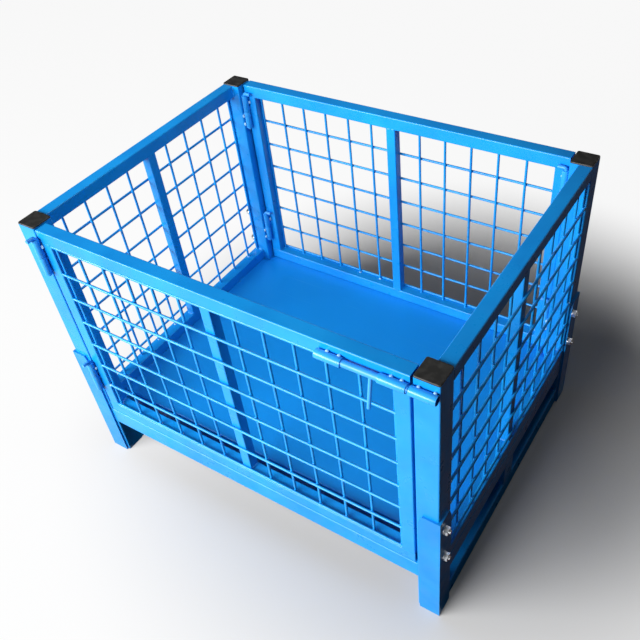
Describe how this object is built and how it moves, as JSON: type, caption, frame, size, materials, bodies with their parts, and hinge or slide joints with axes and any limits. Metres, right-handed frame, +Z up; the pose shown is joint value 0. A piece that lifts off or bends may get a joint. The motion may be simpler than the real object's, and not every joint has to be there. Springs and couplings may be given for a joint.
{
  "type": "wire mesh container",
  "caption": "Blue steel wire mesh container on legs with fork clearance, a pinned front gate with a slide bolt, a lift-off back panel and a sheet floor.",
  "frame": {"origin": "on the floor under the middle of the whole outline, front pin arms and leg bolts included", "axes": "+X to the right seen from the gate, +Y from the gate to the back panel, +Z up"},
  "size_m": [0.8302, 0.6258, 0.6],
  "materials": {
    "blue_enamel": "semi-gloss blue stove enamel over mild steel tube, sheet and wire",
    "cap_plastic": "matt black moulded polyethylene",
    "zinc_fastener": "bright zinc-plated steel"
  },
  "bodies": {
    "frame": {"base_front_rail": "blue_enamel", "base_back_rail": "blue_enamel", "base_left_rail": "blue_enamel", "base_right_rail": "blue_enamel", "cross_rail_front": "blue_enamel", "cross_rail_back": "blue_enamel", "floor_sheet": "blue_enamel", "left_runner": "blue_enamel", "right_runner": "blue_enamel", "left_runner_support": "blue_enamel", "right_runner_support": "blue_enamel", "post_front_left": "blue_enamel", "post_front_right": "blue_enamel", "post_back_left": "blue_enamel", "post_back_right": "blue_enamel", "leg_front_left": "blue_enamel", "leg_front_right": "blue_enamel", "leg_back_left": "blue_enamel", "leg_back_right": "blue_enamel", "post_caps": "cap_plastic", "leg_bolts": "zinc_fastener", "leg_washers": "zinc_fastener", "leg_nuts": "zinc_fastener", "left_top_rail": "blue_enamel", "left_bottom_rail": "blue_enamel", "left_centre_stile": "blue_enamel", "left_mesh": "blue_enamel", "right_top_rail": "blue_enamel", "right_bottom_rail": "blue_enamel", "right_centre_stile": "blue_enamel", "right_mesh": "blue_enamel", "gate_post_knuckles": "blue_enamel", "bolt_keeper": "blue_enamel", "back_post_knuckles": "blue_enamel"},
    "gate": {"gate_top_rail": "blue_enamel", "gate_bottom_rail": "blue_enamel", "gate_hinge_stile": "blue_enamel", "gate_lock_stile": "blue_enamel", "gate_centre_stile": "blue_enamel", "gate_mesh": "blue_enamel", "gate_knuckles": "blue_enamel", "bolt_guides": "blue_enamel"},
    "gate_pin_top": {"gate_pin_top": "blue_enamel"},
    "gate_pin_bottom": {"gate_pin_bottom": "blue_enamel"},
    "bolt_bar": {"bolt_bar": "blue_enamel"},
    "bolt_handle": {"bolt_handle": "blue_enamel"},
    "back_panel": {"back_top_rail": "blue_enamel", "back_bottom_rail": "blue_enamel", "back_left_stile": "blue_enamel", "back_right_stile": "blue_enamel", "back_centre_stile": "blue_enamel", "back_mesh": "blue_enamel", "back_knuckles": "blue_enamel"},
    "back_pin_left_top": {"back_pin_left_top": "blue_enamel"},
    "back_pin_left_bottom": {"back_pin_left_bottom": "blue_enamel"},
    "back_pin_right_top": {"back_pin_right_top": "blue_enamel"},
    "back_pin_right_bottom": {"back_pin_right_bottom": "blue_enamel"}
  },
  "joints": [
    {"name": "gate_swing", "type": "hinge", "parent": "frame", "child": "gate", "pos_m": [-0.35815, -0.2979, 0.138], "axis": [0, 0, 1], "range_deg": [-100, 6]},
    {"name": "bolt_slide", "type": "slide", "parent": "gate", "child": "bolt_bar", "axis": [1, 0, 0], "range_m": [-0.0415, 0.0085]},
    {"name": "bolt_turn", "type": "hinge", "parent": "bolt_bar", "child": "bolt_handle", "pos_m": [0.3021, -0.2987, 0.58], "axis": [1, 0, 0], "range_deg": [-169, 19]},
    {"name": "gate_pin_top_lift", "type": "slide", "parent": "frame", "child": "gate_pin_top", "axis": [0, 0, 1], "range_m": [0, 0.08]},
    {"name": "gate_pin_bottom_lift", "type": "slide", "parent": "frame", "child": "gate_pin_bottom", "axis": [0, 0, 1], "range_m": [0, 0.08]},
    {"name": "back_panel_lift", "type": "slide", "parent": "frame", "child": "back_panel", "axis": [0, 0, 1], "range_m": [0, 0.14]},
    {"name": "back_pin_left_top_lift", "type": "slide", "parent": "back_panel", "child": "back_pin_left_top", "axis": [0, 0, 1], "range_m": [0, 0.08]},
    {"name": "back_pin_left_bottom_lift", "type": "slide", "parent": "back_panel", "child": "back_pin_left_bottom", "axis": [0, 0, 1], "range_m": [0, 0.08]},
    {"name": "back_pin_right_top_lift", "type": "slide", "parent": "back_panel", "child": "back_pin_right_top", "axis": [0, 0, 1], "range_m": [0, 0.08]},
    {"name": "back_pin_right_bottom_lift", "type": "slide", "parent": "back_panel", "child": "back_pin_right_bottom", "axis": [0, 0, 1], "range_m": [0, 0.08]}
  ]
}
